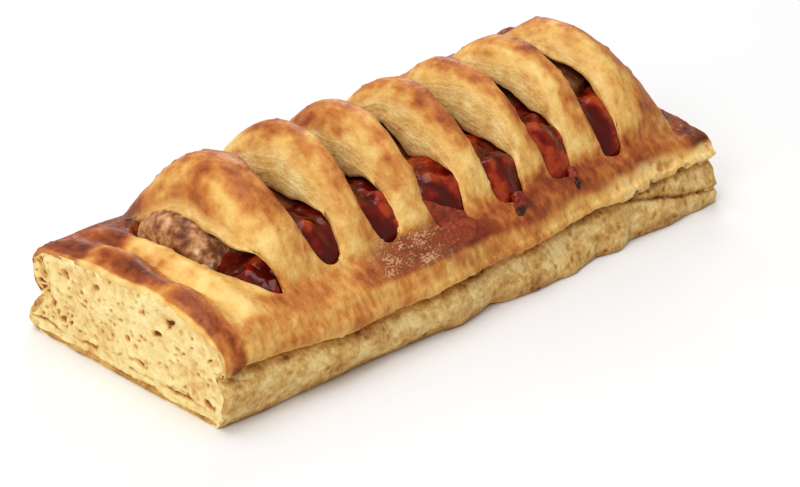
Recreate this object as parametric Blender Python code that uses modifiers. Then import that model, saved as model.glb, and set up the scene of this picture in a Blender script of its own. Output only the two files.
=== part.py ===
"""Sausage roll: a folded slab of puff pastry with seven slits across its arched top.

The roll lies along X on its flat bottom, its shorter brim towards -Y, its top towards +Z.
Three bodies nest in one another without touching:
  pastry   a loft of cross-sections, hollowed for the filling and opened by the slits
  sausage  a turned rod that lies in the hollow
  sauce    a ribbon of sauce along the front of the sausage, swollen in each slit
Units are metres; MM turns a length in millimetres into metres.
"""
import math

import bmesh
import bpy
import numpy as np
from mathutils import Vector

MM = 0.001

# ---- driving dimensions --------------------------------------------------------------
LENGTH = 170 * MM                 # end face to end face
HALF = LENGTH / 2
FRONT_HALF = 33.6 * MM            # centre line to the front base, mid length
BACK_HALF = 34.6 * MM             # centre line to the back base, near end
BACK_FLARE = 4.6 * MM             # how much further out the back rim leans at the far end
BASE_BELLY = 2.8 * MM             # how far the front base swells before the middle
FRONT_LIFT = 0.8 * MM             # how far it draws in again at the far end
FRONT_SKIRT = 2.2 * MM            # how far its foot spreads in the far half
RIM_FLARE = 2.2 * MM              # how much further out the front rim leans at the far corner
EDGE_ROUND = 1.4 * MM             # the end faces turn in by this much
EDGE_DEPTH = 1.0 * MM             # over this length
END_MIDDLE = (0.0, 11.0 * MM)     # and towards this point of the end face

GROOVE_HEIGHT = 13.0 * MM         # the crimp along the front, near end
GROOVE_DEPTH = 3.0 * MM
GROOVE_SAG = 2.7 * MM             # it sags by this much before the middle
GROOVE_LIFT = 1.6 * MM            # and climbs again by this much at the far end
RIM_RISE = 5.0 * MM               # front rim over the crimp, near end
RIM_FALL = 1.8 * MM               # how much thinner the rim is from the middle on
BACK_RIM = 21.5 * MM
BACK_RIM_RISE = 7.5 * MM          # the back rim climbs by this much in the far half
FOLD_HEIGHT = 10.4 * MM           # the fold along the back
FOLD_DEPTH = 4.2 * MM
BRIM_MIDDLE = 24.6 * MM           # height of the crust under the arch
BRIM_FAR_FALL = 4.2 * MM
BRIM_BEND = 3.7                   # how late the front brim turns down to its rim
NEAR_RIDGE_X = -79.5 * MM         # a ridge, a valley and a lip run along the near end
NEAR_RIDGE = 2.6 * MM
NEAR_VALLEY_X = -74.0 * MM
NEAR_VALLEY = 1.6 * MM
NEAR_LIP_X = -69.5 * MM
NEAR_LIP = 1.4 * MM
FILLET = 2.2 * MM                 # where the arch meets the brim

MIDDLE_Y = -1.25 * MM             # the centre line's place, so that the origin is under the middle
DOME_CENTRE = 2.6 * MM            # the arch stands this far behind the centre line
DOME_HALF = 28.0 * MM
DOME_FOOT = 21.0 * MM
DOME_SINK = 3.0 * MM              # the arch starts this far under its foot
DOME_MOUTH = -67.0 * MM           # the arch starts to rise here, inside the first slit
DOME_MOUTH_REACH = 7.0 * MM
DOME_END_CENTRE = 57.0 * MM
DOME_END_REACH = 21.0 * MM        # the closed far end of the arch

SLIT_X = [-63.4 * MM, -40.4 * MM, -22.0 * MM, -1.8 * MM, 16.4 * MM, 34.8 * MM, 54.0 * MM]
SLIT_HALF_WIDTH = [3.6 * MM, 4.7 * MM, 4.6 * MM, 5.4 * MM, 5.0 * MM, 5.2 * MM, 4.6 * MM]
SLIT_FRONT_HALF = [2.1 * MM, 5.2 * MM, 5.0 * MM, 6.6 * MM, 6.3 * MM, 5.5 * MM, 5.5 * MM]
SLIT_LEAN = [4.2 * MM, -2.2 * MM, -2.4 * MM, -3.0 * MM, -0.8 * MM, -1.0 * MM, -0.8 * MM]
SLIT_TURN = [(-12 * MM, -27 * MM)] + 6 * [(4 * MM, -16 * MM)]  # where each lean begins and ends
SLIT_FRONT = [-25.8 * MM, -24.4 * MM, -24.6 * MM, -26.6 * MM, -27.2 * MM, -26.8 * MM, -27.0 * MM]
SLIT_BACK = 21.5 * MM
SLIT_TIP = [9.0 * MM, 5.0 * MM, 4.5 * MM, 5.0 * MM, 5.0 * MM, 5.5 * MM, 5.5 * MM]
SLIT_FAR_SHARE = 0.6              # over the crest a slit's far half is this much of its near half
SLIT_TAIL = 14.0 * MM             # length over which a slit closes at the back
SLIT_FLOOR = 19.6 * MM
SLIT_TOP = 60.0 * MM
STRIP_TOP = [44.0 * MM, 45.4 * MM, 44.8 * MM, 45.3 * MM, 45.5 * MM, 46.4 * MM, 47.0 * MM]
STRIP_CREST = 0.55                # where a strip is highest, from its near to its far lip
STRIP_REACH = 15.0 * MM           # the last strip is shaped as if it were this long
STRIP_OVERHANG = 0.8              # how far its cut side reaches over the slit, in half widths
NEAR_LIP_DROP = [12.0 * MM, 12.0 * MM, 11.6 * MM, 11.6 * MM, 11.4 * MM, 11.0 * MM, 9.6 * MM]
FAR_LIP_DROP = 3.6 * MM

GAP = 0.3 * MM                    # clear space between neighbouring bodies
SAUSAGE_RADIUS = 11.5 * MM
SAUSAGE_Y = 4.6 * MM
SAUSAGE_Z = 20.5 * MM
SAUSAGE_START = -65.0 * MM
SAUSAGE_END = 67.0 * MM
SAUSAGE_ROUND = 6.5 * MM          # rounding of its ends
SAUSAGE_SIDES = 28
SAUCE_START = -61.5 * MM
SAUCE_END = 58.5 * MM
SAUCE_STATIONS = 62
SAUCE_SWELL = 2.6 * MM            # how far the sauce rises in a slit
SAUCE_TAPER = 3.0 * MM            # length over which its ends grow to full size
SAUCE_MIDDLE = (-13.0 * MM, 21.5 * MM)
HOLLOW_START = -66.2 * MM
HOLLOW_END = 68.0 * MM
HOLLOW_STATIONS = 30
HOLLOW_TAPER = 3.5 * MM
HOLLOW_MIDDLE = (-3.0 * MM, 20.0 * MM)
STRIP_THICKNESS = 4.4 * MM        # pastry left over the hollow

STATIONS = 68                     # cross-sections along the roll
DOME_POINTS = 21                  # points over the arch in each cross-section
BRIM_POINTS = 4


# ---- helpers -------------------------------------------------------------------------
def smooth(value, low, high):
    """Smoothstep: 0 below low, 1 above high."""
    t = np.clip((value - low) / (high - low), 0.0, 1.0)
    return t * t * (3.0 - 2.0 * t)


def bump(value, centre, width):
    """A bell curve of height 1."""
    return np.exp(-((value - centre) / width) ** 2)


def soft_max(a, b, blend):
    """The larger of two heights, with a fillet where they cross."""
    return 0.5 * (a + b + np.sqrt((a - b) ** 2 + blend ** 2))


# ---- the shape of the crust ------------------------------------------------------------
def groove_height(x):
    """Height of the front crimp, which is lowest along the middle."""
    return (GROOVE_HEIGHT - GROOVE_SAG * smooth(x, -80 * MM, -45 * MM)
            + GROOVE_LIFT * smooth(x, 25 * MM, HALF))


def rim_height(x):
    """Height of the front rim, above the crimp."""
    return groove_height(x) + RIM_RISE - RIM_FALL * smooth(x, -70 * MM, 10 * MM)


def back_rim_height(x):
    """Height of the back rim, which climbs towards the far end."""
    return (BACK_RIM + BACK_RIM_RISE * smooth(x, 5 * MM, 42 * MM)
            + 0.2 * BACK_RIM_RISE * bump(x, 80 * MM, 5 * MM))


def back_rim_reach(x):
    """Distance of the back rim from the centre line."""
    return (BACK_HALF - EDGE_ROUND + BACK_FLARE * smooth(x, -40 * MM, 45 * MM)
            + EDGE_ROUND * smooth(x, 60 * MM, HALF))


def strip_spans():
    """Near and far lip of each strip; the last one runs into the closed end."""
    spans = []
    for index, centre in enumerate(SLIT_X):
        near = centre + SLIT_HALF_WIDTH[index]
        if index + 1 < len(SLIT_X):
            far = SLIT_X[index + 1] - SLIT_HALF_WIDTH[index + 1]
        else:
            far = DOME_END_CENTRE + DOME_END_REACH
        spans.append((near, far))
    return spans


def arch_height(x):
    """Height of the arch's crest line: seven ribs, each gentle before and steep behind."""
    knots = []
    heights = []
    for (near, far), width, top, drop in zip(strip_spans(), SLIT_HALF_WIDTH, STRIP_TOP, NEAR_LIP_DROP):
        crest = near + STRIP_CREST * (min(far, near + STRIP_REACH) - near)
        start = near - STRIP_OVERHANG * width
        for s in (0.0, 0.25, 0.5, 0.75, 1.0):
            knots.append(start + s * (crest - start))
            heights.append(top - drop * (1 - math.sin(s * math.pi / 2)) ** 1.2)
        if far < DOME_END_CENTRE:
            for s in (0.5, 1.0):
                knots.append(crest + s * (far - crest))
                heights.append(top - FAR_LIP_DROP * s ** 2.2)
    height = np.interp(x, knots, heights) - DOME_FOOT
    end = np.clip((x - DOME_END_CENTRE) / DOME_END_REACH, 0.0, 1.0)
    height = height * (1 - end ** 2.4) ** 0.6
    mouth = np.clip((x - DOME_MOUTH) / DOME_MOUTH_REACH, 0.0, 1.0)
    return height * mouth ** 0.8


def arch(x, y):
    """The arch over the filling: a bell-shaped section that is fuller at the far end."""
    across = np.clip(np.abs(y - DOME_CENTRE) / DOME_HALF, 0.0, 1.0)
    power = 0.72 - 0.12 * smooth(x, 40 * MM, 60 * MM)
    return DOME_FOOT - DOME_SINK + (arch_height(x) + DOME_SINK) * (1 - across ** 2.1) ** power


def brim(x, y):
    """The flat crust round the arch, with a ridge along the near end."""
    middle = BRIM_MIDDLE - BRIM_FAR_FALL * smooth(x, 60 * MM, HALF)
    front = np.clip(-y / FRONT_HALF, 0.0, 1.0) ** BRIM_BEND
    back = np.clip(y / back_rim_reach(x), 0.0, 1.0) ** 2
    height = middle + (rim_height(x) + 0.6 * MM - middle) * front + (back_rim_height(x) - middle) * back
    inside = 1 - np.clip(np.abs(y) / (30 * MM), 0.0, 1.0) ** 4
    ridge = NEAR_RIDGE * bump(x, NEAR_RIDGE_X, 3.4 * MM)
    valley = NEAR_VALLEY * bump(x, NEAR_VALLEY_X, 2.2 * MM)
    lip = NEAR_LIP * bump(x, NEAR_LIP_X, 2.6 * MM)
    return height + (ridge - valley + lip) * inside


def top_height(x, y):
    """Height of the crust's top."""
    return soft_max(brim(x, y), arch(x, y), FILLET)


def front_side(x):
    """Front side from the bottom up: the puffed base, the crimp, the rim."""
    groove = groove_height(x)
    rim = rim_height(x)
    bow = 0.9 * MM * bump(x, -5 * MM, 45 * MM)
    wave = 0.6 * MM * np.sin(x / (7.5 * MM)) * np.sin(x / (19 * MM))
    base = FRONT_HALF + BASE_BELLY * bump(x, -38 * MM, 42 * MM) - FRONT_LIFT * smooth(x, 40 * MM, HALF) + wave
    skirt = FRONT_SKIRT * smooth(x, -20 * MM, 40 * MM)
    flare = RIM_FLARE * smooth(x, 62 * MM, HALF)
    return [(-(base - 2.2 * MM + skirt), 0.0),
            (-(base - 0.3 * MM + skirt), 1.4 * MM),
            (-(base + 0.4 * MM + 0.5 * skirt), 0.4 * groove),
            (-(base + 0.1 * MM), groove - 4.2 * MM),
            (-(base - 1.3 * MM), groove - 1.6 * MM),
            (-(base - GROOVE_DEPTH + 0.3 * bow), groove),
            (-(base - 1.3 * MM + bow + 0.6 * flare), groove + 1.2 * MM),
            (-(base - 0.9 * MM + bow + flare), 0.4 * groove + 0.6 * rim),
            (-(base - 2.0 * MM + bow + flare), rim)]


def back_side(x):
    """Back side from the top down: the rim, the fold, the base."""
    top = back_rim_height(x)
    reach = back_rim_reach(x)
    fold = FOLD_HEIGHT + 1.5 * MM * smooth(x, 0.0, 70 * MM)
    wave = 0.5 * MM * np.sin(x / (9 * MM) + 1.0) + 1.2 * MM * bump(x, -HALF, 18 * MM)
    return [(reach - 1.9 * MM, top),
            (reach - 0.2 * MM, top - 2.2 * MM),
            (reach, 0.45 * top + 0.55 * fold),
            (0.5 * (reach + BACK_HALF) - 1.6 * MM, fold + 2.6 * MM),
            (BACK_HALF - FOLD_DEPTH, fold),
            (BACK_HALF - 2.6 * MM + wave, fold - 2.4 * MM),
            (BACK_HALF - 0.3 * MM + wave, 5.0 * MM),
            (BACK_HALF + 0.3 * MM + wave, 2.0 * MM),
            (BACK_HALF - 3.0 * MM, 0.0)]


def cross_section(x):
    """The closed outline of the crust at x, as (y, z) pairs."""
    front = front_side(x)
    back = back_side(x)
    sweep = np.radians(np.linspace(-88, 88, DOME_POINTS))
    over = DOME_CENTRE + DOME_HALF * np.sin(sweep)
    before = np.linspace(front[-1][0], over[0], BRIM_POINTS + 2)[1:-1]
    behind = np.linspace(over[-1], back[0][0], BRIM_POINTS + 2)[1:-1]
    across = np.concatenate([before, over, behind])
    top = np.stack([across, top_height(np.full_like(across, x), across)], axis=1)
    return np.vstack([np.array(front), top, np.array(back)])


# ---- meshes ----------------------------------------------------------------------------
def loft(name, xs, sections):
    """A closed body through sections of equal count, with a flat face at each end."""
    mesh = bmesh.new()
    rings = []
    for x, section in zip(xs, sections):
        rings.append([mesh.verts.new((x, y, z)) for y, z in section])
    count = len(rings[0])
    for ring, following in zip(rings, rings[1:]):
        for k in range(count):
            n = (k + 1) % count
            mesh.faces.new((ring[k], ring[n], following[n], following[k]))
    mesh.faces.new(rings[0])
    mesh.faces.new(rings[-1])
    bmesh.ops.recalc_face_normals(mesh, faces=mesh.faces)
    bmesh.ops.triangulate(mesh, faces=[face for face in mesh.faces if len(face.verts) > 4])
    data = bpy.data.meshes.new(name)
    mesh.to_mesh(data)
    mesh.free()
    return bpy.data.objects.new(name, data)


def material(name, colour, roughness):
    """A plain Principled material."""
    made = bpy.data.materials.new(name)
    made.use_nodes = True
    shader = made.node_tree.nodes["Principled BSDF"]
    shader.inputs["Base Color"].default_value = (*colour, 1.0)
    shader.inputs["Roughness"].default_value = roughness
    shader.inputs["Metallic"].default_value = 0.0
    return made


def make_pastry():
    """The crust before it is hollowed."""
    inner = np.linspace(-HALF + EDGE_DEPTH, HALF - EDGE_DEPTH, STATIONS)
    xs = np.concatenate([[-HALF], inner, [HALF]])
    sections = [cross_section(x) for x in xs]
    for index in (0, -1):
        offset = sections[index] - END_MIDDLE
        reach = np.linalg.norm(offset, axis=1, keepdims=True)
        turned = END_MIDDLE + offset * (1 - EDGE_ROUND / reach)
        turned[:, 1] = np.maximum(turned[:, 1], 0.0)
        sections[index] = turned
    return loft("pastry", xs, sections)


def make_rod(name, grow):
    """A rod turned about its own axis, with round ends; grow widens it into its own bed."""
    radius = SAUSAGE_RADIUS + grow
    start = SAUSAGE_START - grow
    length = SAUSAGE_END + grow - start
    profile = [(0.0, 0.0)]
    for angle in np.radians(np.linspace(0, 90, 6)):
        along = SAUSAGE_ROUND * (1 - math.cos(angle))
        out = radius - SAUSAGE_ROUND * (1 - math.sin(angle))
        profile.append((along, out))
    far = [(length - along, out) for along, out in reversed(profile)]
    points = [(along, 0.0, out) for along, out in profile + far]
    data = bpy.data.meshes.new(name)
    data.from_pydata(points, [(k, k + 1) for k in range(len(points) - 1)], [])
    rod = bpy.data.objects.new(name, data)
    rod.location = (start, SAUSAGE_Y, SAUSAGE_Z)
    turned = rod.modifiers.new("turned", "SCREW")
    turned.axis = "X"
    turned.steps = SAUSAGE_SIDES
    turned.render_steps = SAUSAGE_SIDES
    turned.use_merge_vertices = True
    turned.merge_threshold = 0.0001
    turned.use_normal_calculate = True
    return rod


def hollow_floor(y):
    """Height of the hollow's floor: the channel that the sauce lies in."""
    ys = [-23.6 * MM, -20.0 * MM, -13.0 * MM, -6.0 * MM, 3.0 * MM, 10.5 * MM]
    zs = [21.0 * MM, 19.0 * MM, 17.0 * MM, 17.0 * MM, 14.5 * MM, 16.5 * MM]
    return np.interp(y, ys, zs)


def hollow_roof(x, y):
    """Height of the underside of the strips, which leaves them their thickness."""
    ys = [-22.4 * MM, -18.0 * MM, -13.0 * MM, -8.0 * MM, -3.0 * MM, 3.0 * MM, 8.0 * MM, 11.6 * MM]
    zs = [22.8 * MM, 25.8 * MM, 28.6 * MM, 32.6 * MM, 36.0 * MM, 37.0 * MM, 35.2 * MM, 30.0 * MM]
    under = np.minimum(np.interp(y, ys, zs), top_height(x, y) - STRIP_THICKNESS)
    return np.maximum(under, hollow_floor(y) + 1.2 * MM)


def make_hollow():
    """The space over and in front of the sausage: air under the strips, a channel for the sauce."""
    below = np.array([-23.6, -20.0, -13.0, -6.0, 3.0, 10.5]) * MM
    above = np.array([11.6, 8.0, 3.0, -3.0, -8.0, -13.0, -18.0, -22.4]) * MM
    xs = np.linspace(HOLLOW_START, HOLLOW_END, HOLLOW_STATIONS)
    sections = []
    for x in xs:
        floor = np.stack([below, hollow_floor(below)], axis=1)
        roof = np.stack([above, hollow_roof(x, above)], axis=1)
        section = np.vstack([floor, roof])
        ends = min(1.0, (x - HOLLOW_START) / HOLLOW_TAPER, (HOLLOW_END - x) / HOLLOW_TAPER)
        sections.append(HOLLOW_MIDDLE + (section - HOLLOW_MIDDLE) * (0.7 + 0.3 * ends))
    return loft("hollow", xs, sections)


def slit_edges(index, y):
    """Near and far edge of a slit at y: it widens and leans towards its blunt front tip."""
    front = smooth(y, 4 * MM, -16 * MM)
    centre = SLIT_X[index] + SLIT_LEAN[index] * smooth(y, *SLIT_TURN[index])
    near = SLIT_HALF_WIDTH[index] + (SLIT_FRONT_HALF[index] - SLIT_HALF_WIDTH[index]) * front
    far = near * (SLIT_FAR_SHARE + (1 - SLIT_FAR_SHARE) * front)
    tip = np.clip((y - SLIT_FRONT[index]) / SLIT_TIP[index], 0.0, 1.0)
    tail = np.clip((SLIT_BACK - y) / SLIT_TAIL, 0.0, 1.0)
    ends = np.sqrt((1 - (1 - tip) ** 2) * (1 - (1 - tail) ** 2))
    return centre - near * ends, centre + far * ends


def slit_outline(index):
    """The slit's outline: its near edge from the front to the back, and its far edge back again."""
    middle = (SLIT_FRONT[index] + SLIT_BACK) / 2
    reach = (SLIT_BACK - SLIT_FRONT[index]) / 2
    ys = middle - reach * np.cos(np.linspace(0, math.pi, 11))
    near, far = slit_edges(index, ys)
    there = np.stack([near, ys], axis=1)
    back = np.stack([far, ys], axis=1)[-2:0:-1]
    return np.vstack([there, back])


def make_slit(index):
    """A slit's cutter: the lens drawn upwards."""
    mesh = bmesh.new()
    floor = [mesh.verts.new((x, y, SLIT_FLOOR)) for x, y in slit_outline(index)]
    face = mesh.faces.new(floor)
    raised = bmesh.ops.extrude_face_region(mesh, geom=[face])
    lifted = [item for item in raised["geom"] if isinstance(item, bmesh.types.BMVert)]
    bmesh.ops.translate(mesh, verts=lifted, vec=Vector((0.0, 0.0, SLIT_TOP - SLIT_FLOOR)))
    bmesh.ops.recalc_face_normals(mesh, faces=mesh.faces)
    name = "slit %d" % (index + 1)
    data = bpy.data.meshes.new(name)
    mesh.to_mesh(data)
    mesh.free()
    return bpy.data.objects.new(name, data)


def sauce_swell(x):
    """0 under a strip and 1 in the middle of a slit."""
    swell = 0.0
    for centre, width in zip(SLIT_X, SLIT_HALF_WIDTH):
        swell = max(swell, 1 - smooth(abs(x - centre), 0.10 * width, 0.72 * width))
    return swell


def make_sauce():
    """The ribbon of sauce: it lies in its channel and its top rises in each slit."""
    below = np.array([-22.2, -19.0, -13.0, -6.0]) * MM
    above = np.array([-5.0, -8.5, -12.0, -16.0, -19.6, -21.6]) * MM
    level = np.array([23.0, 25.6, 26.6, 25.2, 23.4, 22.0]) * MM
    share = np.array([0.0, 0.6, 1.0, 1.0, 0.6, 0.2])
    xs = np.linspace(SAUCE_START, SAUCE_END, SAUCE_STATIONS)
    sections = []
    for x in xs:
        low = np.stack([below, hollow_floor(below) + 2 * GAP], axis=1)
        roof = np.minimum(hollow_roof(x - 2 * MM, above), hollow_roof(x + 2 * MM, above))
        top = np.minimum(level, roof - 2 * GAP) + SAUCE_SWELL * sauce_swell(x) * share
        section = np.vstack([low, np.stack([above, top], axis=1)])
        ends = min(1.0, (x - SAUCE_START) / SAUCE_TAPER, (SAUCE_END - x) / SAUCE_TAPER)
        sections.append(SAUCE_MIDDLE + (section - SAUCE_MIDDLE) * (0.75 + 0.25 * ends))
    return loft("sauce", xs, sections)


# ---- the model -------------------------------------------------------------------------
def main():
    for old in list(bpy.data.objects):
        bpy.data.objects.remove(old, do_unlink=True)

    middle = bpy.data.objects.new("centre line", None)
    middle.location = (0.0, MIDDLE_Y, 0.0)
    bpy.context.scene.collection.objects.link(middle)
    parts = bpy.data.collections.new("sausage roll")
    cutters = bpy.data.collections.new("cutters")
    bpy.context.scene.collection.children.link(parts)
    bpy.context.scene.collection.children.link(cutters)

    pastry = make_pastry()
    sausage = make_rod("sausage", 0.0)
    sauce = make_sauce()
    for piece in (pastry, sausage, sauce):
        parts.objects.link(piece)
        piece.parent = middle
    pastry.data.materials.append(material("baked crust", (0.60, 0.31, 0.10), 0.45))
    sausage.data.materials.append(material("browned meat", (0.25, 0.10, 0.04), 0.50))
    sauce.data.materials.append(material("red sauce", (0.20, 0.015, 0.004), 0.15))

    bed = make_rod("bed", GAP)
    hollow = make_hollow()
    slits = [make_slit(index) for index in range(len(SLIT_X))]
    for cutter in [bed, hollow] + slits:
        cutters.objects.link(cutter)
        cutter.parent = middle
        cutter.hide_render = True
        cutter.display_type = "WIRE"
    opened = pastry.modifiers.new("hollow and slits", "BOOLEAN")
    opened.operation = "DIFFERENCE"
    opened.solver = "EXACT"
    opened.operand_type = "COLLECTION"
    opened.collection = cutters
    seated = sauce.modifiers.new("bed of the sausage", "BOOLEAN")
    seated.operation = "DIFFERENCE"
    seated.solver = "EXACT"
    seated.object = bed

    for piece in (pastry, sausage):
        piece.data.shade_smooth()


main()
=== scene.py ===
"""Looks of a baked sausage roll: puff pastry with seven slits, a browned sausage and red sauce.

Shapes are worked out in millimetres about the roll's centre line, with +X towards the far end and
-Y towards the front, and are turned into metres as their meshes are made.
"""

import math

import bpy
import numpy as np
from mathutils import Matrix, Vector


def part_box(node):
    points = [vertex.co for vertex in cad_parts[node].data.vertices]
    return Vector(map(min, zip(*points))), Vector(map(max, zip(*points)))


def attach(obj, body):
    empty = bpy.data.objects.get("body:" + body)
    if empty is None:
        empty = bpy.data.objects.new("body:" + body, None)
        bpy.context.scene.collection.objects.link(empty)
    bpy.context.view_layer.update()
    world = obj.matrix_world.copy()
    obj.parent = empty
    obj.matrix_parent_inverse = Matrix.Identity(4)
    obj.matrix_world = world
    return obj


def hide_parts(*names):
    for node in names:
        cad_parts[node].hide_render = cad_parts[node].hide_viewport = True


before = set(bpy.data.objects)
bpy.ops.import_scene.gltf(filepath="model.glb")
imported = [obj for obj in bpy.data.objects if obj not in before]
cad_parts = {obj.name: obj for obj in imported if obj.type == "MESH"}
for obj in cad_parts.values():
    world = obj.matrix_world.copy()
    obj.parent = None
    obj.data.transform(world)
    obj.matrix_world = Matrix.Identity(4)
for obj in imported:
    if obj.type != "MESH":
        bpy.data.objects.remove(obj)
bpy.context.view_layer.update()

# ---- sizes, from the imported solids
MM = 1000  # millimetres in a metre
PASTRY_LOW, PASTRY_HIGH = [np.array(corner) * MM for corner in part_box("pastry")]
SAUSAGE_LOW, SAUSAGE_HIGH = [np.array(corner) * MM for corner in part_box("sausage")]
SAUCE_START, SAUCE_END = [corner[0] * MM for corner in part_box("sauce")]
HALF = (PASTRY_HIGH[0] - PASTRY_LOW[0]) / 2  # centre to an end face
SAUSAGE_RADIUS = (SAUSAGE_HIGH[2] - SAUSAGE_LOW[2]) / 2
SAUSAGE_Z = (SAUSAGE_HIGH[2] + SAUSAGE_LOW[2]) / 2
SAUSAGE_Y = 4.6  # the sausage lies this far behind the centre line
MIDDLE_Y = (SAUSAGE_HIGH[1] + SAUSAGE_LOW[1]) / 2 - SAUSAGE_Y

# ---- the roll's own form, after the solids
FRONT_HALF = 33.6
RIM_FLARE = 2.2
BACK_HALF = 34.6
BACK_FLARE = 4.6
BASE_BELLY = 2.8
EDGE_ROUND = 1.4
GROOVE_HEIGHT = 13
GROOVE_DEPTH = 3
GROOVE_SAG = 2.7
GROOVE_LIFT = 1.6
RIM_RISE = 5
RIM_FALL = 1.8
BACK_RIM = 21.5
BACK_RIM_RISE = 7.5
FOLD_HEIGHT = 10.4
FOLD_DEPTH = 4.2
BRIM_MIDDLE = 24.6
BRIM_FAR_FALL = 4.2
BRIM_BEND = 3.7
NEAR_RIDGE_X = -79.5
NEAR_VALLEY_X = -74
NEAR_LIP_X = -69.5
FILLET = 2.2
DOME_CENTRE = 2.6
DOME_HALF = 28
DOME_FOOT = 21
DOME_SINK = 3
DOME_MOUTH = -67
DOME_MOUTH_REACH = 7
DOME_END_CENTRE = 57
DOME_END_REACH = 21
SLIT_X = [-63.4, -40.4, -22, -1.8, 16.4, 34.8, 54]
SLIT_HALF_WIDTH = [3.6, 4.7, 4.6, 5.4, 5, 5.2, 4.6]
SLIT_FRONT_HALF = [2.1, 4.9, 5, 6.4, 6, 5.2, 4.7]
SLIT_LEAN = [4.2, -2.2, -2.4, -3, -0.8, -1, -0.8]
SLIT_TURN = [(-12, -27)] + 6 * [(4, -16)]
SLIT_FRONT = [-25.8, -24.4, -24.6, -26.6, -27.2, -26.8, -27]
SLIT_BACK = 21.5
SLIT_TIP = [9, 8.5, 6, 6.5, 9, 9, 8.5]
SLIT_FAR_SHARE = 0.6
SLIT_TAIL = 14
STRIP_TOP = [44, 45.4, 44.8, 45.3, 45.5, 46.4, 47]
STRIP_CREST = 0.55
STRIP_REACH = 15
STRIP_OVERHANG = 0.8
NEAR_LIP_DROP = [12, 12, 11.6, 11.6, 11.4, 11, 9.6]
FAR_LIP_DROP = 3.6
SLIT_BOW = [0, 2.8, 0.5, 0.3, 1.5, 0.9, 0.6]  # how far each near edge bows out in the middle
SLIT_LEAST = 3.4  # a slit's floor lies at least this far down
# How far each strip's cut edge hangs, slit by slit, at these places across the roll.
CUT_AT = [-24, -19, -15, -10, -5, 0, 5]
CUT_DEPTH = [[0.8, 1.2, 1.8, 2.6, 3, 3.2, 3.2],
             [0.6, 0.9, 1.6, 3.6, 6.2, 7, 6],
             [0.6, 0.7, 0.9, 3, 5.8, 5.2, 3.4],
             [0.8, 1.7, 3.6, 5.4, 7.6, 6, 4.4],
             [1.2, 4, 7, 8.4, 8.8, 6.2, 4.4],
             [0.7, 2, 3.9, 6.5, 5.8, 3.6, 3],
             [1, 3, 3.8, 2.4, 2.2, 1.8, 1.6]]
END_LIP = 0.75  # radius of the crust's turned-in edge at each end
END_TUCK = 5  # the edge runs on this far inside the crumb
CRUMB_INSET = 0.6  # the crumb starts this far inside the crust
CRUMB_BACK = 4.6  # and goes this deep into the roll
LOBE = (25.5, 14.5)  # where the thin walls in the back lobe spring from
# The ragged foot of the base: places along the roll, and how far out it reaches there.
FOOT = [(-85, 31), (-72, 31.6), (-59, 31.6), (-44, 32.2), (-29, 32.6),
        (-20, 33.2), (-13, 34.2), (0, 32.2), (4, 33.7), (12, 34.8), (19, 34.6),
        (26, 35.6), (37, 33), (45, 34.8), (50, 32.8), (57, 33.4), (65, 34.3),
        (71, 33.6), (85, 33.6)]
FAR_FROM_CUT = 60  # the distance from a cut edge given to points off the strips
SAUCE_FRONT = -27.4
SAUCE_REACH = 2  # it runs back to here, inside the sausage
SAUCE_PAST = 2.5  # it runs on this far past the solid's ends, inside the crust
SAUCE_UNDER = 14.5
SAUCE_LOW = 17.5  # its level between the slits
SAUCE_SWELL = [0.9, 0.9, 1.2, 1.2, 2.4, 2.4, 1.6]
SAUCE_SHORT = [0.1, 0.1, 0.2, 0.3, 0, 0, 0.2]  # how far short of full each slit is
SAUCE_BACK = [-11, -6, -5, -4, -4, -6, -14]  # where it ends on the sausage

# ---- how finely each piece is worked out, in rows and columns of its grid
ARCH_FRONT = -28.5  # the rows that cross the slits run from here
ARCH_BACK = 26  # to here
ARCH_ROWS = 128
RIM_ROWS = 13
BRIM_ROWS = 13
BACK_BRIM_ROWS = 9
BACK_SIDE_ROWS = 18
CLOSING_ROWS = 8
NEAR_COLUMNS = 46
STRIP_COLUMNS = 28
SLIT_COLUMNS = 34
FAR_COLUMNS = 58
LIP_COLUMNS = 7
BASE_COLUMNS = 420
BASE_FRONT_ROWS = 46
BASE_BACK_ROWS = 34
BASE_OVER_ROWS = 10
BASE_UNDER_ROWS = 14
CRUMB_GRID = (300, 104)
SAUSAGE_GRID = (170, 320)
SAUCE_GRID = (120, 620)
SAUCE_UNDER_ROWS = 12
SPILL_GRID = (70, 80)


# ---- helpers: curves and noise
def steps(count):
    """Even steps from 0 to 1."""
    return np.linspace(0, 1, count)


def clamp(value):
    """A value held between 0 and 1."""
    return np.clip(value, 0, 1)


def smooth(value, low, high):
    """Smoothstep: 0 at low, 1 at high."""
    t = clamp((value - low) / (high - low))
    return t * t * (3 - 2 * t)


def fade(value, low, high):
    """Smoothstep the other way: 1 at low, 0 at high."""
    return 1 - smooth(value, low, high)


def bump(value, centre, width):
    """A bell curve of height 1: e to the minus square of the distance over the width."""
    return np.exp(-((value - centre) / width) ** 2)


def soft_max(a, b, blend):
    """The larger of two heights, filleted: half of their sum and the root of (difference squared
    + blend squared)."""
    return 0.5 * (a + b + np.sqrt((a - b) ** 2 + blend ** 2))


def join(*parts):
    """Arrays one after another along their first axis."""
    return np.concatenate(parts)


def stack(*parts):
    """Numbers side by side along a new last axis, each spread to the same shape."""
    return np.stack(np.broadcast_arrays(*parts), axis=-1)


def axes(grid):
    """The x, y and z of a grid of points."""
    return np.moveaxis(grid, -1, 0)


def mix(first, second, share):
    """From the first value to the second by a share."""
    return first * (1 - share) + second * share


def curve(*pairs):
    """Control points (K, ..., 2) from pairs of numbers or arrays."""
    flat = stack(*[value for pair in pairs for value in pair])
    return np.moveaxis(flat.reshape(flat.shape[:-1] + (-1, 2)), -2, 0)


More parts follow.
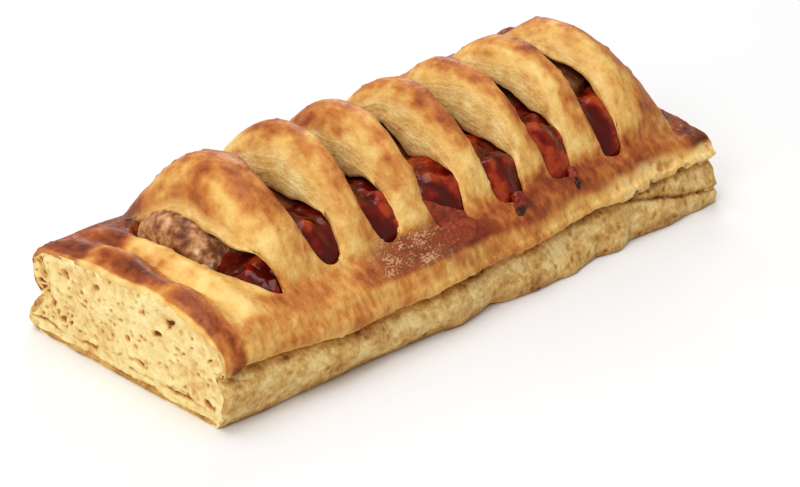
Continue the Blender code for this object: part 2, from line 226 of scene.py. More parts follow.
def through(points, t):
    """A Catmull-Rom curve through control points (K, ..., 2), read at shares t of its way."""
    last = len(points) - 1
    place = np.asarray(t) * last
    at = np.clip(np.floor(place).astype(int), 0, last - 1)
    s = (place - at).reshape((-1,) + (1,) * (points.ndim - 1))
    before = points[np.maximum(at - 1, 0)]
    here = points[at]
    after = points[at + 1]
    beyond = points[np.minimum(at + 2, last)]
    return 0.5 * (2 * here + (after - before) * s
                  + (2 * before - 5 * here + 4 * after - beyond) * s ** 2
                  + (3 * here - before - 3 * after + beyond) * s ** 3)


def scatter(cell, seed):
    """A fixed number from 0 to 1 for each cell: its indices times primes, with the bits mixed."""
    n = cell.astype(np.int64) * np.array([73856093, 19349663, 83492791])
    n = (n[..., 0] ^ n[..., 1] ^ n[..., 2] ^ (seed * 40503)) & 0xFFFFFFFF
    for _ in range(2):
        n = ((n ^ (n >> 16)) * 0x45D9F3B) & 0xFFFFFFFF
    return (n ^ (n >> 16)) / 0xFFFFFFFF


def noise(points, size, seed):
    """Smooth random values from -1 to 1: numbers at the corners of cells, blended by smoothstep."""
    scaled = points / size
    cell = np.floor(scaled)
    part = scaled - cell
    part = part * part * (3 - 2 * part)
    total = 0
    for corner in range(8):
        step = np.array([corner & 1, corner >> 1 & 1, corner >> 2 & 1])
        weight = np.prod(np.where(step == 1, part, 1 - part), axis=-1)
        total = total + weight * scatter(cell + step, seed)
    return 2 * total - 1


def rough(points, size, seed, octaves=3):
    """Noise added up at halving sizes and heights, within -1 to 1."""
    total = 0
    for octave in range(octaves):
        total = total + noise(points, size / 2 ** octave, seed + octave) / 2 ** octave
    return total / (2 - 2 ** (1 - octaves))


def patches(points, size, seed):
    """Scattered centres, one to a cell: distance to the nearest, to the next, nearest's number."""
    scaled = points / size
    home = np.floor(scaled)
    first = np.full(points.shape[:-1], 9.0)
    second = first.copy()
    number = np.zeros(points.shape[:-1])
    for k in range(27):
        cell = home + np.array([k % 3 - 1, k // 3 % 3 - 1, k // 9 - 1])
        own = scatter(cell, seed + 3)
        centre = cell + stack(*[scatter(cell, seed + axis) for axis in range(3)])
        distance = np.linalg.norm(scaled - centre, axis=-1)
        second = np.where(distance < first, first, np.minimum(second, distance))
        number = np.where(distance < first, own, number)
        first = np.minimum(first, distance)
    return first, second, number


# ---- helpers: meshes
def directions(grid):
    """Unit normals of a grid: the cross product of its steps along columns and along rows."""
    along = np.gradient(grid, axis=1)
    around = np.gradient(grid, axis=0)
    normal = np.cross(along, around)
    length = np.linalg.norm(normal, axis=-1, keepdims=True)
    return normal / np.maximum(length, 1e-9)


def add_object(name, data):
    """A new object in the scene."""
    item = bpy.data.objects.new(name, data)
    bpy.context.scene.collection.objects.link(item)
    return item


def mesh_object(name, points, faces, values):
    """A smooth mesh object in metres, with a number for each point under each name in values."""
    points = points + np.array([0, MIDDLE_Y, 0])
    points[:, 2] = np.maximum(points[:, 2], 0)
    mesh = bpy.data.meshes.new(name)
    mesh.from_pydata(points / MM, [], faces)
    for key, numbers in values.items():
        layer = mesh.attributes.new(key, "FLOAT", "POINT")
        layer.data.foreach_set("value", np.ascontiguousarray(numbers, dtype=np.float32))
    mesh.shade_smooth()
    mesh.validate()
    return add_object(name, mesh)


def ring(grid):
    """The numbers of a grid's points, and the quads between its rows and columns all round."""
    index = np.arange(grid[..., 0].size).reshape(grid.shape[:2])
    following = np.roll(index, -1, axis=0)
    quads = stack(index[:, :-1], index[:, 1:], following[:, 1:], following[:, :-1])
    return index, following, quads.reshape(-1, 4)


def slab(name, grid, values):
    """A closed slab: the first half of a grid's rows is its outer face and the second half its
    inner face backwards. A strip between the two closes each end."""
    index, _, quads = ring(grid)
    rows = len(grid)
    half = np.arange(rows // 2 - 1)
    strip = stack(half, half + 1, rows - 2 - half, rows - 1 - half)
    faces = join(quads, index[strip, 0], index[strip[:, ::-1], -1])
    flat = {key: numbers.reshape(-1) for key, numbers in values.items()}
    return mesh_object(name, grid.reshape(-1, 3), faces.tolist(), flat)


def shell(name, grid, values):
    """A closed body: a grid's rows run round it, its columns along it, and a pole ends it."""
    index, following, quads = ring(grid)
    near = stack(index.size, index[:, 0], following[:, 0])
    far = stack(index.size + 1, following[:, -1], index[:, -1])
    poles = [grid[:, :1].mean(axis=0), grid[:, -1:].mean(axis=0)]
    points = np.concatenate([grid.reshape(-1, 3)] + poles)
    padded = {}
    for key, numbers in values.items():
        flat = np.broadcast_to(numbers, index.shape)
        poles = [flat[:, 0].mean(), flat[:, -1].mean()]
        padded[key] = join(flat.reshape(-1), poles)
    return mesh_object(name, points, quads.tolist() + near.tolist() + far.tolist(), padded)


# ---- the shape of the crust
def groove_height(x):
    """Height of the front crimp, which is lowest along the middle."""
    return GROOVE_HEIGHT - GROOVE_SAG * smooth(x, -80, -45) + GROOVE_LIFT * smooth(x, 25, HALF)


def rim_height(x):
    """Height of the front rim, above the crimp."""
    return groove_height(x) + RIM_RISE - RIM_FALL * smooth(x, -70, 10)


def back_rim_height(x):
    """Height of the back rim, which climbs towards the far end."""
    return BACK_RIM + BACK_RIM_RISE * smooth(x, 5, 42) + 0.2 * BACK_RIM_RISE * bump(x, 80, 5)


def back_rim_reach(x):
    """Distance of the back rim from the centre line."""
    flare = BACK_FLARE * smooth(x, -40, 45)
    return BACK_HALF - EDGE_ROUND + flare + EDGE_ROUND * smooth(x, 60, HALF)


def front_base(x):
    """Distance of the front base from the centre line: it swells, and waves a little."""
    wave = 0.6 * np.sin(x / 7.5) * np.sin(x / 19)
    return FRONT_HALF + BASE_BELLY * bump(x, -38, 42) - 0.8 * smooth(x, 40, HALF) + wave


def front_bow(x):
    """How far the rim bows out over the crimp."""
    return 0.9 * bump(x, -5, 45)


def fold_height(x):
    """Height of the fold along the back."""
    return FOLD_HEIGHT + 1.5 * smooth(x, 0, 70)


def arch_height(x):
    """Height of the arch's crest line: seven ribs, each gentle before and steep behind."""
    knots = []
    heights = []
    for index, (centre, width) in enumerate(zip(SLIT_X, SLIT_HALF_WIDTH)):
        near = centre + width
        last = index + 1 == len(SLIT_X)
        far = near + STRIP_REACH if last else SLIT_X[index + 1] - SLIT_HALF_WIDTH[index + 1]
        crest = near + STRIP_CREST * (min(far, near + STRIP_REACH) - near)
        start = near - STRIP_OVERHANG * width
        share = steps(7)
        knots.extend(start + share * (crest - start))
        drop = (1 - np.sin(share * math.pi / 2)) ** 1.2
        heights.extend(STRIP_TOP[index] - NEAR_LIP_DROP[index] * drop)
        if not last:
            share = np.array([0.33, 0.66, 1])
            knots.extend(crest + share * (far - crest))
            heights.extend(STRIP_TOP[index] - FAR_LIP_DROP * share ** 2.2)
    height = np.interp(x, knots, heights) - DOME_FOOT
    end = clamp((x - DOME_END_CENTRE) / DOME_END_REACH)
    mouth = clamp((x - DOME_MOUTH) / DOME_MOUTH_REACH)
    return height * (1 - end ** 2.4) ** 0.6 * mouth ** 0.8


def arch(x, y):
    """The arch over the filling: its height times (1 - share across ** 2.1) to a power below 1."""
    across = clamp(np.abs(y - DOME_CENTRE) / DOME_HALF)
    power = 0.72 - 0.12 * smooth(x, 40, 60)
    return DOME_FOOT - DOME_SINK + (arch_height(x) + DOME_SINK) * (1 - across ** 2.1) ** power


def brim(x, y):
    """The flat crust round the arch: it falls to its two rims by powers of the share across, and
    has a ridge, a valley and a lip at the near end, each a bell curve."""
    middle = BRIM_MIDDLE - BRIM_FAR_FALL * smooth(x, 60, HALF)
    front = clamp(-y / FRONT_HALF) ** BRIM_BEND
    back = clamp(y / back_rim_reach(x)) ** 2
    height = middle + (rim_height(x) + 0.6 - middle) * front + (back_rim_height(x) - middle) * back
    inside = 1 - clamp(np.abs(y) / 30) ** 4
    sway = 0.9 * np.sin(y / 7) + 0.5 * np.sin(y / 3.1 + 1)
    ridge = (2.6 + 0.5 * np.sin(y / 4.3)) * bump(x, NEAR_RIDGE_X + sway, 3.2)
    valley = 1.6 * bump(x, NEAR_VALLEY_X + 0.6 * sway, 2.2)
    lip = 1.4 * bump(x, NEAR_LIP_X, 2.6)
    return height + (ridge - valley + lip) * inside


def top_height(x, y):
    """Height of the crust's top: the brim or the arch, whichever is higher, with a fillet."""
    return soft_max(brim(x, y), arch(x, y), FILLET)


def slit_edges(index, y):
    """Near and far edge of a slit at y: it widens and leans towards its blunt front tip."""
    front = smooth(y, 4, -16)
    centre = SLIT_X[index] + SLIT_LEAN[index] * smooth(y, *SLIT_TURN[index])
    near = SLIT_HALF_WIDTH[index] + (SLIT_FRONT_HALF[index] - SLIT_HALF_WIDTH[index]) * front
    far = near * (SLIT_FAR_SHARE + (1 - SLIT_FAR_SHARE) * front)
    tip = clamp((y - SLIT_FRONT[index]) / SLIT_TIP[index])
    tail = clamp((SLIT_BACK - y) / SLIT_TAIL)
    ends = np.sqrt((1 - (1 - tip) ** 2) * (1 - (1 - tail) ** 2))
    waver = 0.30 * np.sin(y / 3.3 + 2 * index) + 0.10 * np.sin(y / 1.3 + index)
    near = near - waver + SLIT_BOW[index] * bump(y, -5, 8)
    return centre - near * ends - 0.03, centre + (far + 0.7 * waver) * ends + 0.03


def cut_depth(index, y):
    """How far the cut edge beyond a slit hangs below its lip: least at the front tip."""
    return np.interp(y, CUT_AT, CUT_DEPTH[index])


def slit_depth(index, y):
    """How deep a slit is at y, from 0 at its tips to 1."""
    tip = clamp((y - SLIT_FRONT[index]) / 2.2)
    tail = clamp((SLIT_BACK - y) / 4)
    return smooth(tip, 0, 1) ** 0.7 * smooth(tail, 0, 1)


def slit_floor(y):
    """Height of the bottom of the slits, under the sauce and the sausage."""
    return np.interp(y, [-28, -24, -18, -6, 21], [20.4, 19.8, 18, 17, 18.5])


def slit_course(index, y):
    """Across a slit, as control points (K, rows, 2) of x and z: down the near wall, over the
    floor, and up inside the hollow to the next strip's cut edge. They lie on a straight line
    where the slit has no depth."""
    lo, hi = slit_edges(index, y)
    depth = slit_depth(index, y)
    lo_top = top_height(lo, y)
    hi_top = top_height(hi, y)
    floor = np.minimum(slit_floor(y), np.minimum(lo_top, hi_top) - SLIT_LEAST)
    under = 0.12 + 0.88 * smooth(y, -23, -15)
    near_roof = np.maximum(top_height(lo - 3.2 * under, y) - 5, floor + 0.6)
    cut = np.minimum(cut_depth(index, y), hi_top - floor - 2)
    far_roof = hi_top - cut
    lean = 0.24 * (cut - 0.9)
    roof = far_roof - 1.5 * (1 - under)
    deep = curve((lo, lo_top - 1.6),
                 (lo - 0.5 * under, lo_top - 3),
                 (lo - 3.2 * under, near_roof),
                 (lo - 4 * under, 0.5 * (near_roof + floor)),
                 (lo - 3 * under, floor),
                 (0.5 * (lo + hi), floor - 0.4),
                 (hi + 7 * under, floor),
                 (hi + 9 * under, 0.5 * (roof + floor)),
                 (hi + 7.6 * under, roof - 0.2),
                 (hi + 3 * under, roof + 0.2),
                 (hi + 0.8 * under - lean, far_roof),
                 (hi + 0.1 * under - 0.6 * lean, hi_top - 0.5 * cut - 0.5),
                 (hi, hi_top - 1))
    share = steps(len(deep))[:, None, None]
    flat = stack(lo + (hi - lo) * share, lo_top + (hi_top - lo_top) * share)
    return flat + (deep - flat) * depth[None, ..., None]


def rounded(distance, radius):
    """How far a rounded edge drops at a distance from it: its radius minus a quarter circle."""
    inner = np.clip(radius - distance, 0, radius)
    return radius - np.sqrt(radius ** 2 - inner ** 2)


# ---- the top sheet of the crust
# A half circle for the crust's end edges: how far each column is set in from the end and down.
LIP_TURN = np.linspace(0, math.pi, LIP_COLUMNS - 1)
LIP_OFFSET = join([END_TUCK], END_LIP * (1 - np.sin(LIP_TURN)))
LIP_DEPTH = join([2 * END_LIP], END_LIP * (1 + np.cos(LIP_TURN)))


def turn_in_ends(grid):
    """Draws a grid's end columns in round a half circle; outward is each row's step turned by a
    right angle."""
    step = np.gradient(grid[..., 1:], axis=0)
    outward = stack(-step[..., 1], step[..., 0])
    outward = outward / np.maximum(np.linalg.norm(outward, axis=-1, keepdims=True), 1e-9)
    grid[:, :LIP_COLUMNS, 1:] -= outward[:, :LIP_COLUMNS] * LIP_DEPTH[None, :, None]
    grid[:, -LIP_COLUMNS:, 1:] -= outward[:, -LIP_COLUMNS:] * LIP_DEPTH[None, ::-1, None]
    return grid


def rough_ends(grid):
    """Draws a grid's ends in by 0.5 and some noise, which fades out 3 from each end."""
    edge = fade(HALF - np.abs(grid[..., 0]), 0, 3)
    grid[..., 0] -= np.sign(grid[..., 0]) * edge * (0.5 + 0.6 * rough(grid, 3, 143, 3))
    return grid


def end_columns(count, to):
    """Columns from the near end of the roll to a place: the turned edge first, then even steps."""
    start = -HALF + LIP_OFFSET[-1]
    lip = np.broadcast_to(-HALF + LIP_OFFSET, np.shape(to) + (LIP_COLUMNS,))
    rest = start + (to[..., None] - start) * steps(count - LIP_COLUMNS + 1)[1:]
    return np.concatenate([lip, rest], axis=-1)


def arch_rows():
    """The rows that cross the slits: even along the arch's curve, wider apart behind the crest."""
    y = np.linspace(ARCH_FRONT, ARCH_BACK, 800)
    z = top_height(np.full_like(y, 8), y)
    run = np.hypot(np.gradient(y), np.gradient(z)) * np.where(y > 13, 0.55, 1)
    length = join([0], np.cumsum(run[1:]))
    return np.interp(np.linspace(0, length[-1], ARCH_ROWS), length, y)


def distance_along(x, z):
    """Distance along each row, from its first column."""
    step = np.hypot(np.diff(x, axis=1), np.diff(z, axis=1))
    return np.concatenate([np.zeros((len(x), 1)), np.cumsum(step, axis=1)], axis=1)


def crust_top():
    """The top sheet. Each row runs along the roll, over strips at the height of the arch and down
    into the slits between them. Other rows go over the rims, brims and fold and close the sheet.
    With the grid come each point's distance from its strip's cut edge, its share of the way over
    the strip, and how far it lies inside a slit."""
    y = arch_rows()[:, None]
    parts = []
    near = None
    for index in range(len(SLIT_X)):
        lo, hi = slit_edges(index, y)
        depth = slit_depth(index, y)
        if near is None:
            x = end_columns(NEAR_COLUMNS, lo[:, 0])
            z = top_height(x, y)
            across = FAR_FROM_CUT
            share = 0.5
        else:
            x = near + (lo - near) * steps(STRIP_COLUMNS)
            z = top_height(x, y) - rounded(x - near, 1.1) * near_depth
            across = distance_along(x, z)
            share = across / across[:, -1:]
        z = z - rounded(lo - x, 2.2) * 0.8 * depth
        parts.append(stack(x, z, across, share, 0))
        turn = steps(SLIT_COLUMNS + 2)[1:-1] ** 0.85
        course = through(slit_course(index, y)[:, :, 0], turn).transpose(1, 0, 2)
        x, z = axes(course)
        back = distance_along(x[:, ::-1], z[:, ::-1])[:, ::-1]
        hang = cut_depth(index, y)
        inside = smooth(back, hang + 0.2, hang + 1.6) * smooth(turn, 0.03, 0.12) * depth
        parts.append(stack(x, z, -back, 0, inside))
        near = hi
        near_depth = depth
    x = -end_columns(FAR_COLUMNS, -near[:, 0])[:, ::-1]
    z = top_height(x, y) - rounded(x - near, 1.1) * near_depth
    across = distance_along(x, z)
    parts.append(stack(x, z, across, clamp(across / 22), 0))
    x, z, across, share, inside = axes(np.concatenate(parts, axis=1))
    front = front_rows(x[0])
    back = back_rows(x[-1])
    under = back[-1] + (front[0] - back[-1]) * steps(CLOSING_ROWS)[1:-1, None, None]
    under[..., 2] -= 2
    under[..., 0] *= 1 - END_TUCK / HALF
    grid = join(front, stack(x, y, z), back, under)
    around = ((len(front), len(back) + len(under)), (0, 0))
    return grid, {"across": np.pad(across, around, constant_values=FAR_FROM_CUT),
                  "share": np.pad(share, around, constant_values=0.5),
                  "inside": np.pad(inside, around)}


def spread_columns(x, share):
    """Fans columns out from where they bunch at the slit tips to even steps, by a share."""
    even = np.linspace(x[LIP_COLUMNS - 1], x[-LIP_COLUMNS], len(x) - 2 * LIP_COLUMNS + 2)
    even = join(x[:LIP_COLUMNS - 1], even, x[-LIP_COLUMNS + 1:])
    return x + (even - x) * share


def front_rows(first):
    """From inside the crimp up the bulging band to the rim, and over the front brim."""
    x = spread_columns(first, 1)
    base = front_base(x)
    bow = front_bow(x)
    groove = groove_height(x)
    rim = rim_height(x)
    t = steps(RIM_ROWS)[:, None]
    closed = np.maximum(smooth(x, 40, 50), 1 - smooth(x, -83, -76))
    sink = (GROOVE_DEPTH - 0.9) * (1 - closed) * (1 - t) ** 3
    flare = RIM_FLARE * smooth(x, 62, HALF) * smooth(t, 0, 0.6)
    band_y = -(base + bow * smooth(t, 0, 0.4) - (0.9 + sink + 1.1 * t ** 6) + flare)
    band_z = groove + (rim - groove) * t
    inner_y = -(base - GROOVE_DEPTH - 2)
    start = stack(x, inner_y, groove - 0.3)[None]
    band = stack(x, band_y, band_z)
    share = steps(BRIM_ROWS)[1:-1, None]
    x = spread_columns(first, 1 - share ** 1.5)
    rim_y = rim_reach(x)
    y = rim_y + (ARCH_FRONT - rim_y) * share ** 1.2
    return join(start, band, stack(x, y, brim_surface(x, y)))


def rim_reach(x):
    """Place of the front rim's edge across the roll."""
    return -(front_base(x) + front_bow(x) + RIM_FLARE * smooth(x, 62, HALF) - 2)


def brim_surface(x, y):
    """Height of the crust's front brim, with the rounded edge over its rim."""
    rim_y = rim_reach(x)
    step = top_height(x, rim_y) - rim_height(x)
    return top_height(x, y) - step * np.exp(-(np.clip(y - rim_y, 0, None) / 1.3) ** 1.5)


def back_rows(last):
    """Over the back brim to the back rim, and down to the inside of the fold."""
    share = steps(BACK_BRIM_ROWS)[1:-1, None]
    x = spread_columns(last, share ** 1.5)
    reach = back_rim_reach(x)
    y = ARCH_BACK + (reach - 1.9 - ARCH_BACK) * share
    brim_part = stack(x, y, top_height(x, y))
    x = spread_columns(last, 1)
    fold = fold_height(x)
    tuck = curve((BACK_HALF - FOLD_DEPTH, fold), (BACK_HALF - FOLD_DEPTH - 2, fold - 0.3))
    side = through(join(back_curve(x), tuck), steps(BACK_SIDE_ROWS))
    return join(brim_part, stack(x, *axes(side)))


def band_curve(x, inset):
    """The band over the crimp, up to the rim, as control points (K, X, 2)."""
    base = front_base(x) - inset
    bow = front_bow(x)
    groove = groove_height(x)
    rim = rim_height(x)
    return curve((-(base - 1.3 + bow), groove + 1.2),
                 (-(base - 0.9 + bow), 0.4 * groove + 0.6 * rim),
                 (-(base - 2 + bow), rim - inset))


def back_curve(x, inset=0):
    """The back side from the rim down to the fold, as control points (K, X, 2)."""
    top = back_rim_height(x) - inset
    reach = back_rim_reach(x) - inset
    fold = fold_height(x)
    return curve((reach - 1.9, top),
                 (reach - 0.2, top - 2.2),
                 (reach, 0.45 * top + 0.55 * fold),
                 (0.5 * (reach + BACK_HALF) - 1.6, fold + 2.6))


# ---- the puffed base
def base_front(x, inset=0):
    """The base's front side, from the bottom up into the crimp, as control points (K, X, 2)."""
    base = front_base(x) - inset
    groove = groove_height(x)
    foot = np.interp(x, *zip(*FOOT)) - inset
    return curve((-foot, 0),
                 (-(foot + 1.2), 0.7),
                 (-(0.5 * (base + foot) + 1.2), 0.36 * groove),
                 (-(base + 0.1), groove - 4.2),
                 (-(base - 1.3), groove - 1.6),
                 (-(base - GROOVE_DEPTH), groove - 0.1))


def base_back(x, inset=0):
    """The base's back side, from the fold down to the bottom, as control points (K, X, 2)."""
    fold = fold_height(x)
    wave = 0.5 * np.sin(x / 9 + 1) + 1.2 * bump(x, -HALF, 18)
    half = BACK_HALF - inset
    return curve((half - FOLD_DEPTH, fold + 0.1),
                 (half - 2.6 + wave, fold - 2.4),
                 (half - 0.3 + wave, 5),
                 (half + 0.3 + wave, 2),
                 (half - 3, 0))


def crust_base():
    """The base: its cross-section goes up the front side, over, down the back side and under the
    bottom. With it comes a share, which is 1 halfway up each side and 0 at its ends."""
    even = np.linspace(-HALF + LIP_OFFSET[-1], HALF - LIP_OFFSET[-1], BASE_COLUMNS)[1:-1]
    x = join(-HALF + LIP_OFFSET, even, (HALF - LIP_OFFSET)[::-1])
    front = through(base_front(x), steps(BASE_FRONT_ROWS))
    back = through(base_back(x), steps(BASE_BACK_ROWS))
    above = front[-1] + (back[0] - front[-1]) * steps(BASE_OVER_ROWS)[1:-1, None, None]
    bottom = back[-1] + (front[0] - back[-1]) * steps(BASE_UNDER_ROWS)[1:-1, None, None]
    grid = stack(x, *axes(join(front, above, back, bottom)))
    grid[len(front):len(front) + len(above), :, 0] *= 1 - END_TUCK / HALF
    side = [np.sin(np.linspace(0, math.pi, BASE_FRONT_ROWS)) ** 0.5, np.zeros(len(above)),
            np.sin(np.linspace(0, math.pi, BASE_BACK_ROWS)) ** 0.5, np.zeros(len(bottom))]
    return grid, np.concatenate(side)[:, None]


# ---- the torn ends
def end_patch(sign):
    """A patch over an end of the roll, (across, up, 2): straight lines between its front and back
    edges, lifted towards the rounded top edge as they rise."""
    x = np.array([sign * (HALF - 1)])
    across, up = CRUMB_GRID
    v = steps(up)
    u = steps(across)[:, None, None]
    front = join(base_front(x, CRUMB_INSET), band_curve(x, CRUMB_INSET))
    back = join(base_back(x, CRUMB_INSET)[::-1], back_curve(x, CRUMB_INSET)[::-1])
    left = through(front, v)[None, :, 0]
    right = through(back, v)[None, :, 0]
    y = left[0, -1, 0] + (right[0, -1, 0] - left[0, -1, 0]) * u[:, 0, 0]
    crown = stack(y, brim_surface(np.full_like(y, x[0]), y) - CRUMB_INSET)[:, None]
    straight = left[:, -1:] + (right[:, -1:] - left[:, -1:]) * u
    lift = (crown - straight) * v[None, :, None] ** 1.5
    lift[..., 1] *= 1 - clamp(2 * u[:, :, 0] - 1) ** 30
    return left + (right - left) * u + lift


def crumb(sign, seed):
    """The crumb at one end, a closed slab whose outer face has lumps of noise, holes round
    scattered centres, walls in the back lobe by a sine of the angle, and layers along the bottom
    by a sine of the height."""
    patch = end_patch(sign)
    if sign > 0:
        patch = patch[::-1]
    y, z = axes(patch)
    flat = stack(0, y, z)
    bend = stack(0, noise(flat, 2.2, seed + 5), noise(flat, 2.2, seed + 6))
    place = (flat + 0.7 * bend) * np.array([1, 0.62, 1])
    big, _, big_number = patches(place, 2.5, seed)
    small, _, small_number = patches(place, 1.1, seed + 20)
    rows = 0.5 * bump(z, 6.2, 1.8) + 0.35 * bump(z, 12.6, 2.2) + 0.2
    hole = smooth(0.12 + 0.42 * rows - big_number, -0.02, 0.04) * fade(big, 0.16, 0.46)
    pinhole = smooth(0.22 + 0.4 * rows - small_number, -0.02, 0.04) * fade(small, 0.16, 0.45)
    angle = np.arctan2(z - LOBE[1], y - LOBE[0])
    far = np.hypot(y - LOBE[0], z - LOBE[1])
    wall = np.abs(np.sin(7.5 * angle + 2.2 * noise(flat, 2.5, seed + 8)))
    lobe = smooth(far, 2, 4) * fade(far, 6.5, 8)
    lobe = lobe * smooth(z, 9, 12) * smooth(wall, 0.25, 0.7)
    lobe = lobe * smooth(noise(flat, 4, seed + 14), -0.3, 0.3)
    low = fade(z, 2.4, 3.8)
    stretched = flat * np.array([1, 0.35, 1])
    layer = np.abs(np.sin(z * 2.4 + 1.5 * noise(stretched, 3, seed + 9)))
    slot = bump(z, 3.6 + 0.5 * noise(flat, 6, seed + 10), 0.35)
    slot = slot * smooth(noise(flat, 2.4, seed + 12), 0, 0.3)
    # the hollows are pushed in here and also painted darker in the looks, as painted shade in the
    # holes, slots and lobe walls
    hollow = np.maximum(hole, 0.75 * pinhole) * (1 - low)
    hollow = np.maximum(hollow, np.maximum(0.8 * lobe, slot))
    lumps = 0.7 * rough(place, 5, seed + 11, 4) + 0.4 * rough(place, 1.7, seed + 17, 3)
    belly = bump(z, 12, 8) * bump(y, 0, 30)
    inset = 0.9 - lumps + 1.1 * hollow + 0.25 * low * layer - 0.5 * belly
    v = steps(patch.shape[1])
    u = steps(patch.shape[0])[:, None]
    rim = np.minimum(smooth(np.minimum(u, 1 - u), 0, 0.02),
                     smooth(np.minimum(v, 1 - v), 0, 0.05))
    inset = inset * rim + 0.7 * (1 - rim)
    outer = stack(sign * (HALF - inset), y, z)
    inner = outer[::-1].copy()
    inner[..., 0] = sign * (HALF - CRUMB_BACK)
    inner[..., 2] -= 1.6 * smooth(v, 0.5, 1)
    return join(outer, inner), {
        "hollow": join(hollow, 0 * hollow),
        "lump": join(lumps, 0 * lumps),
        "low": join(low, low[::-1])}


# ---- the filling
def sausage():
    """A rod: circles drawn in by a quarter circle at each end and roughened by noise. Its near
    end is torn and lumpy, and its top is raised to the level of each slit's filling."""
    rows, columns = SAUSAGE_GRID
    start = SAUSAGE_LOW[0] - 0.6
    end = SAUSAGE_HIGH[0]
    turn = np.linspace(0, 2 * math.pi, rows, endpoint=False)[:, None]
    share = 0.5 - 0.5 * np.cos(np.linspace(0, math.pi, columns))
    x = start + (end - start) * (0.35 * share + 0.65 * steps(columns))
    to_end = np.minimum(x - start, end - x)
    inner = clamp(1 - to_end / 5)
    torn = fade(x, -60, -52)
    radius = SAUSAGE_RADIUS + 2.6 * torn - 5 * (1 - np.sqrt(1 - inner ** 2))
    middle = SAUSAGE_Y + 3 * torn
    flat = stack(x, -np.cos(turn) * radius, np.sin(turn) * radius)
    rubble = rough(flat, 3.4, 64, 4)
    swell = 0.30 * rough(flat, 9, 61) + torn * (0.9 * rubble + 0.35 * rough(flat, 1.1, 71, 2))
    swell = swell + 0.10 * rough(flat * np.array([0.25, 1, 1]), 1.6, 68) - 0.35
    radius = radius + swell
    wide = 1 + 0.5 * bump(x, SLIT_X[-1] + 1, 9)
    y = middle - np.cos(turn) * radius * wide
    z = SAUSAGE_Z - torn + np.sin(turn) * radius * (1 - 0.14 * torn)
    for index in range(1, len(SLIT_X)):
        full, share = filled(index, x, y)
        back = SAUCE_BACK[index]
        share = share * smooth(y, back - 6, back - 2) * fade(y, 12, 17)
        share = share * smooth(np.sin(turn), 0.1, 0.4)
        z = z + np.maximum(full - 0.9 + swell - z, 0) * share
    return stack(x, y, z), {"torn": torn, "lump": rubble}


def filled_edges(index, y):
    """Edges of a slit's filling at y, which stay open beyond the slit's tips."""
    return slit_edges(index, np.clip(y, SLIT_FRONT[index] + 1.5, 16))


def filled(index, x, y):
    """How high a slit is filled: to the cut edge on its far side or to just under the lip on its
    near side, whichever is lower. The share with it is 1 in the slit and 0 under the strips."""
    lo, hi = filled_edges(index, y)
    far = top_height(hi, y) - cut_depth(index, y) - 0.15
    near = top_height(lo, y) - 2 + 0.55 * (x - lo)
    wide = smooth(y, -24, -17)
    share = smooth(x, lo - 2.6, lo - 0.6)
    share = share * fade(x, hi - 0.4 + 4 * wide, hi + 1 + 6 * wide)
    return -soft_max(-far, -near, 1.2), share


def sauce_level(x, y):
    """Height of the sauce: it fills each slit and swells in its middle as a bell curve, and sinks
    by smoothsteps towards the tip, behind, and under the strips."""
    level = np.full(np.broadcast(x, y).shape, SAUCE_LOW)
    for index in range(len(SLIT_X)):
        full, share = filled(index, x, y)
        lo, hi = filled_edges(index, y)
        swell = bump(y, -20, 6) * bump(x, 0.5 * (lo + hi), 0.4 * (hi - lo) + 0.5)
        full = full + SAUCE_SWELL[index] * swell - SAUCE_SHORT[index]
        full = full - 2.4 * fade(y, SLIT_FRONT[index] - 0.4, SLIT_FRONT[index] + 2.4)
        full = full - 4 * smooth(y, SAUCE_BACK[index] - 3, SAUCE_BACK[index] + 6)
        level = np.maximum(level, SAUCE_LOW + (full - SAUCE_LOW) * share)
    return level


def sauce():
    """The sauce as one ribbon: its level and some noise over the slits, and a flat underside."""
    rows, columns = SAUCE_GRID
    y = np.linspace(SAUCE_FRONT, SAUCE_REACH, rows)[:, None]
    x = np.linspace(SAUCE_START - SAUCE_PAST, SAUCE_END + SAUCE_PAST, columns)[None]
    flat = stack(x, y, 0)
    lumps = 1.25 * rough(flat, 4, 81, 2) + 0.12 * rough(flat, 1.7, 85, 2) - 0.25
    top = stack(x, y, sauce_level(x, y) + lumps)
    under_y = np.linspace(SAUCE_REACH, SAUCE_FRONT, SAUCE_UNDER_ROWS)[:, None]
    under = stack(x, under_y, SAUCE_UNDER)
    return join(top, under), {"lump": np.pad(lumps, ((0, len(under)), (0, 0)))}


def spill(left, right, thickness, seed):
    """Sauce run over the brim: a sheet between two edge curves, whose thickness is the root of its
    share across times the rest of it, with lumps, and bubbles at its burnt end."""
    rows, columns = SPILL_GRID
    t = steps(columns)
    near = through(np.array(left), t)[None]
    far = through(np.array(right), t)[None]
    s = steps(rows)[:, None, None]
    place = near + (far - near) * s
    flat = stack(*axes(place), 0)
    place = place + 0.25 * stack(noise(flat, 1.6, seed + 4), noise(flat, 1.6, seed + 5))
    x, y = axes(place)
    body = clamp(4 * s[..., 0] * (1 - s[..., 0])) ** 0.5
    body = body * clamp(1 - t ** 6) ** 0.5 * smooth(t, -0.15, 0.12)
    lumps = rough(flat, 2.2, seed, 3)
    burn = smooth(t + 0.12 * lumps, 0.35, 0.75)
    first, _, _ = patches(flat, 1.3, seed + 8)
    bubble = smooth(0.62 - first, 0, 0.4) * burn
    z = brim_surface(x, y)
    high = z + body * thickness * (1 + 0.4 * lumps + 0.55 * bubble) - 0.10
    return join(stack(x, y, high), stack(x, y, z - 1.4)[::-1]), {
        "lump": join(lumps, lumps[::-1]),
        "burn": join(burn, burn[::-1]),
        "thin": float(thickness < 0.6)}


# ---- shader helpers
def plug(tree, socket, value):
    """Feeds a socket: links a wire to it, or sets its value."""
    if isinstance(value, Wire):
        tree.links.new(value.socket, socket)
    else:
        socket.default_value = value


